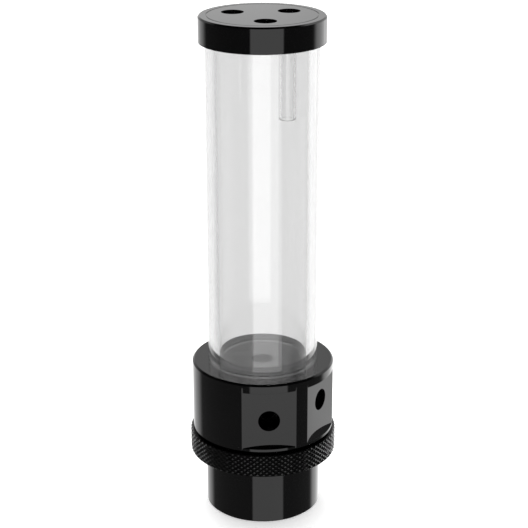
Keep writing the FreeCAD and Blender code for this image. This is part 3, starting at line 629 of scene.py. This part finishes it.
ring = {
    **reach("clamp_ring"), "chamfer": 0.45, "sides": 288, "lipPlay": 0.35, "threadPlay": 0.1,
    "peak": 40.66, "valley": 39.93, "round": 72, "rowPitch": 2.69, "smoothUnder": 38,
}


def makeRing():
    middle = (ring["low"] + ring["high"]) / 2
    halfRow = ring["rowPitch"] / 2
    rows = math.ceil((ring["high"] - middle) / halfRow)
    levels = [middle + halfRow * row for row in range(-rows, rows + 1)]
    knurl = turnedPiece("knurlBand", [(ring["peak"], level) for level in levels], ring["round"] * 2)
    step = math.pi / ring["round"]

    def inValley(place):
        turn = round(math.atan2(place.y, place.x) / step)
        row = round((place.z / mm - middle) / halfRow)
        return (turn + row) % 2 == 1

    bpy.ops.object.mode_set(mode="EDIT")
    selectPoints(knurl, inValley)
    inwards = ring["valley"] / ring["peak"]
    bpy.ops.transform.resize(value=(inwards, inwards, 1), center_override=(0, 0, middle * mm))
    bpy.ops.mesh.select_all(action="SELECT")
    bpy.ops.mesh.quads_convert_to_tris(quad_method="SHORTEST_DIAGONAL", ngon_method="BEAUTY")
    bpy.ops.object.mode_set(mode="OBJECT")
    lipBore = cover["radius"] + ring["lipPlay"]
    threadBore = block["spigotCrest"] + ring["threadPlay"]
    profile = turnedPiece("clampRing", [
        (lipBore, ring["low"]),
        (ring["radius"] - ring["chamfer"], ring["low"]),
        (ring["radius"], ring["low"] + ring["chamfer"]),
        (ring["radius"], ring["high"] - ring["chamfer"]),
        (ring["radius"] - ring["chamfer"], ring["high"]),
        (threadBore, ring["high"]),
        (threadBore, cover["flangeLow"]),
        (lipBore, cover["flangeLow"]),
    ], ring["sides"], hollow=True)
    combine(profile, knurl, "INTERSECT")
    pickOnly(profile)
    bpy.ops.object.shade_smooth_by_angle(angle=math.radians(ring["smoothUnder"]))
    finishPiece(profile, knurlBlack, "ring", "knurled_black", "clamp_ring")


makeRing()
print("clamp ring made")


# clear tubes: turned walls with finely rounded ends

def tubeRings(sizes):
    edge = sizes["endEdge"]
    return [
        (sizes["bore"] + edge, sizes["low"]),
        (sizes["outer"] - edge, sizes["low"]),
        (sizes["outer"], sizes["low"] + edge),
        (sizes["outer"], sizes["high"] - edge),
        (sizes["outer"] - edge, sizes["high"]),
        (sizes["bore"] + edge, sizes["high"]),
        (sizes["bore"], sizes["high"] - edge),
        (sizes["bore"], sizes["low"] + edge),
    ]


def makeTubes():
    wall = turnedPiece("reservoirTube", tubeRings(tube), tube["sides"], hollow=True)
    shadeClean(wall)
    finishPiece(wall, hazyAcrylic, "reservoir", "clear_acrylic", "reservoir_tube")
    # its level end faces are bedded on black sealant
    wall.data.materials.append(beddingBlack)
    for face in wall.data.polygons:
        face.material_index = 1 if abs(face.normal.z) > 0.9 else 0
    pipe = turnedPiece("fillTube", tubeRings(filler), filler["sides"], hollow=True)
    pipe.location = towards(filler["turn"]) * filler["away"] * mm
    settle(pipe)
    shadeClean(pipe)
    finishPiece(pipe, clearAcrylic, "lid", "clear_acrylic", "fill_tube")


makeTubes()
print("clear tubes made")


# lid: a cap over the tube's end with a plug inside it, a fine turned line and three ports

lid = {
    **reach("lid"), "chamfer": 0.8, "roof": 271.35, "seatPlay": 0.1, "plugPlay": 0.35,
    "lineRadius": 29.0, "lineWidth": 0.5, "lineDepth": 0.3, "edge": 0.08, "sides": 256,
    "portTurns": (0, 240), "portSetBack": 2.2, "portWindings": 7, "fillWindings": 4,
}


def makeLid():
    lineIn = lid["lineRadius"] - lid["lineWidth"] / 2
    lineOut = lid["lineRadius"] + lid["lineWidth"] / 2
    plugRadius = tube["bore"] - lid["plugPlay"]
    seatRadius = tube["outer"] + lid["seatPlay"]
    cap = turnedPiece("reservoirLid", [
        (plugRadius, lid["low"]),
        (plugRadius, lid["roof"]),
        (seatRadius, lid["roof"]),
        (seatRadius, lid["low"]),
        (lid["radius"], lid["low"]),
        (lid["radius"], lid["high"] - lid["chamfer"]),
        (lid["radius"] - lid["chamfer"], lid["high"]),
        (lineOut, lid["high"]),
        (lineOut, lid["high"] - lid["lineDepth"]),
        (lineIn, lid["high"] - lid["lineDepth"]),
        (lineIn, lid["high"]),
    ], lid["sides"])
    # all three ports lie as far from the axis as the filling tube
    for turn in lid["portTurns"]:
        place = towards(turn) * filler["away"]
        drill(cap, port["radius"], (place.x, place.y, lid["low"] - past), (0, 0, 1),
              lid["high"] - lid["low"] + 2 * past)
    # the third port has a shelf that the filling tube ends at, in a seat from below
    place = towards(filler["turn"]) * filler["away"]
    drill(cap, port["radius"], (place.x, place.y, filler["high"]), (0, 0, 1),
          lid["high"] - filler["high"] + past)
    drill(cap, filler["outer"] + lid["seatPlay"], (place.x, place.y, lid["low"] - past), (0, 0, 1),
          filler["high"] - lid["low"] + 2 * past)
    soften(cap, lid["edge"])
    finishPiece(cap, glossBlack, "lid", "black_gloss", "lid")


makeLid()
for threadName, threadTurn, windings in (("frontLidThread", lid["portTurns"][0], lid["portWindings"]),
                                         ("leftLidThread", lid["portTurns"][1], lid["portWindings"]),
                                         ("fillLidThread", filler["turn"], lid["fillWindings"])):
    mouth = towards(threadTurn) * filler["away"] + Vector((0, 0, lid["high"]))
    makePortThread(threadName, mouth, (0, 0, 1), lid["portSetBack"], windings, "lid")
print("lid made")


# stage: a pale floor, a white surround for the camera and a soft studio round the object

studio = {
    "floorSize": 12.0, "floorColour": 0.93, "floorGlow": 0.35, "brightest": 4.0, "cameraTurn": -5.29,
    "rightLean": 0.36, "leanFrom": -0.22,
    "lampPlace": (-0.25, 0.8, 1.1), "lampAim": (0, 0, 0.12), "lampSize": 0.9, "lampPower": 3.0,
    "cameraPlace": (-0.0735, -0.7940, 0.4334), "cameraTilt": 69.84, "cameraPan": -5.339,
    "cameraRoll": -0.072, "lens": 106.83, "sensor": 36.0, "nearest": 0.01, "farthest": 50,
}
# brightness of the studio round the object, in straight lines from point to point: by the turn in degrees
# from the camera's side, to the right, and by the sine of the height above the horizon
frontBoxByTurn = [(-180, 0), (-22.3, 0), (-20.3, 1.18), (36.5, 1.18), (38.5, 0), (180, 0)]
frontBoxByHeight = [
    (-1, 0), (-0.62, 0), (-0.57, 0.8), (-0.46, 0.86), (-0.4, 1), (-0.12, 1), (-0.06, 0), (1, 0),
]
wallsByTurn = [
    (-180, 1.4), (-160, 1.25), (-146, 0.95), (-134, 0.82), (-128, 0.58), (-123, 0.25), (-118, 0.02),
    (98, 0.02), (103, 0.12), (108, 0.78), (113, 1.38), (128, 1.6), (145, 1.9), (155, 1.15), (176, 1.15),
    (180, 1.4),
]
wallsByHeight = [
    (-1, 0), (-0.75, 0.1), (-0.6, 1), (-0.2, 1), (0.19, 0.66), (0.39, 0.5), (0.5, 0.6), (0.7, 1), (0.8, 0.4),
    (0.9, 0.02), (1, 0.02),
]
dimRoomByHeight = [(-1, 0.12), (-0.45, 0.12), (-0.22, 0.06), (0, 0.03), (1, 0.01)]
# what lights matt surfaces, and what clear parts mirror inside themselves
softByTurn = [(-180, 3.2), (-90, 0.9), (0, 0.5), (90, 0.9), (180, 3.2)]
mirroredByTurn = [
    (-180, 1), (-136, 1), (-128, 0.8), (-120, 0.7), (-100, 0.4), (-22.3, 0.3), (-20.3, 1.85), (36.5, 1.85),
    (38.5, 0.3), (80, 0.3), (105, 0.6), (125, 1), (157, 1), (161, 0.5), (168, 0.5), (172, 1), (180, 1),
]


def makeFloor():
    clearSelection()
    bpy.ops.mesh.primitive_plane_add(size=studio["floorSize"], location=(0, 0, 0))
    floor = bpy.context.object
    floor.name = "paleFloor"
    # polished and clear parts show the studio in the floor's place
    floor.visible_glossy = False
    floor.visible_transmission = False
    colour = (studio["floorColour"],) * 3 + (1,)
    material, tree, shader = newMaterial("paleFloor", Base_Color=colour, Roughness=1.0,
                                         Specular_IOR_Level=0.0, Emission_Color=(1, 1, 1, 1))
    # to the camera alone the floor shows a little brighter, so that it meets the white surround
    rays = tree.nodes.new("ShaderNodeLightPath")
    glow = mathNode(tree, "MULTIPLY", rays.outputs["Is Camera Ray"], studio["floorGlow"])
    tree.links.new(glow, shader.inputs["Emission Strength"])
    floor.data.materials.append(material)


def studioCurve(tree, value, points, low, high):
    # a level that follows straight lines between (place, level) points
    curveNode = tree.nodes.new("ShaderNodeFloatCurve")
    curve = curveNode.mapping.curves[0]
    while len(curve.points) < len(points):
        curve.points.new(0.5, 0.5)
    for point, (place, level) in zip(curve.points, points):
        point.location = ((place - low) / (high - low), level / studio["brightest"])
        point.handle_type = "VECTOR"
    curveNode.mapping.update()
    share = mathNode(tree, "DIVIDE", mathNode(tree, "SUBTRACT", value, low), high - low)
    tree.links.new(share, curveNode.inputs["Value"])
    return mathNode(tree, "MULTIPLY", curveNode.outputs["Value"], studio["brightest"])


def makeWorld():
    world = bpy.data.worlds.new("studio")
    bpy.context.scene.world = world
    world.use_nodes = True
    tree = world.node_tree
    place = tree.nodes.new("ShaderNodeTexCoord")
    parts = tree.nodes.new("ShaderNodeSeparateXYZ")
    tree.links.new(place.outputs["Generated"], parts.inputs["Vector"])
    height = parts.outputs["Z"]
    # the turn in degrees from the camera's side, kept between -180 and 180
    back = mathNode(tree, "MULTIPLY", parts.outputs["Y"], -1)
    bearing = mathNode(tree, "DEGREES", mathNode(tree, "ARCTAN2", parts.outputs["X"], back))
    shifted = mathNode(tree, "ADD", mathNode(tree, "SUBTRACT", bearing, studio["cameraTurn"]), 540)
    turn = mathNode(tree, "SUBTRACT", mathNode(tree, "MODULO", shifted, 360), 180)
    # the panels on the right lean outwards towards their feet
    right = mathNode(tree, "MAXIMUM", turn, 0)
    lowest = mathNode(tree, "MINIMUM", height, studio["leanFrom"])
    below = mathNode(tree, "SUBTRACT", lowest, studio["leanFrom"])
    lean = mathNode(tree, "MULTIPLY", below, studio["rightLean"])
    leant = mathNode(tree, "ADD", turn, mathNode(tree, "MULTIPLY", right, lean))
    front = mathNode(tree, "MULTIPLY", studioCurve(tree, leant, frontBoxByTurn, -180, 180),
                     studioCurve(tree, height, frontBoxByHeight, -1, 1))
    walls = mathNode(tree, "MULTIPLY", studioCurve(tree, leant, wallsByTurn, -180, 180),
                     studioCurve(tree, height, wallsByHeight, -1, 1))
    dim = studioCurve(tree, height, dimRoomByHeight, -1, 1)
    room = mathNode(tree, "ADD", mathNode(tree, "ADD", front, walls), dim)
    # the camera sees white, also through clear parts; what these mirror inside themselves and what lights
    # matt surfaces have levels of their own
    rays = tree.nodes.new("ShaderNodeLightPath")
    mirrored = studioCurve(tree, turn, mirroredByTurn, -180, 180)
    straight = mathNode(tree, "LESS_THAN", rays.outputs["Glossy Depth"], 0.5)
    soft = studioCurve(tree, turn, softByTurn, -180, 180)
    strength = room
    for flag, level in ((rays.outputs["Is Transmission Ray"], mirrored),
                        (mathNode(tree, "MULTIPLY", rays.outputs["Is Transmission Ray"], straight), 1),
                        (rays.outputs["Is Diffuse Ray"], soft),
                        (rays.outputs["Is Camera Ray"], 1)):
        kept = mathNode(tree, "MULTIPLY", strength, mathNode(tree, "SUBTRACT", 1, flag))
        strength = mathNode(tree, "ADD", kept, mathNode(tree, "MULTIPLY", flag, level))
    tree.links.new(strength, tree.nodes["Background"].inputs["Strength"])
    tree.nodes["Background"].inputs["Color"].default_value = (1, 1, 1, 1)


def makeLamp():
    # one broad lamp above and behind, which lays the soft shadow in front of the foot
    clearSelection()
    bpy.ops.object.light_add(type="AREA", location=studio["lampPlace"])
    lamp = bpy.context.object
    lamp.name = "softLamp"
    lamp.data.shape = "DISK"
    lamp.data.size = studio["lampSize"]
    lamp.data.energy = studio["lampPower"]
    aim = Vector(studio["lampAim"]) - lamp.location
    lamp.rotation_euler = aim.to_track_quat("-Z", "Y").to_euler()
    lamp.visible_glossy = False


def makeCamera():
    clearSelection()
    bpy.ops.object.camera_add(location=studio["cameraPlace"])
    camera = bpy.context.object
    camera.data.lens = studio["lens"]
    camera.data.sensor_width = studio["sensor"]
    camera.data.clip_start = studio["nearest"]
    camera.data.clip_end = studio["farthest"]
    turn = Matrix.Rotation(math.radians(studio["cameraPan"]), 4, "Z")
    tilt = Matrix.Rotation(math.radians(studio["cameraTilt"]), 4, "X")
    roll = Matrix.Rotation(math.radians(studio["cameraRoll"]), 4, "Z")
    camera.matrix_world = Matrix.Translation(studio["cameraPlace"]) @ turn @ tilt @ roll
    bpy.context.scene.camera = camera


makeFloor()
makeWorld()
makeLamp()
makeCamera()
bpy.context.scene.view_settings.view_transform = "Standard"
print("stage, light and camera made")
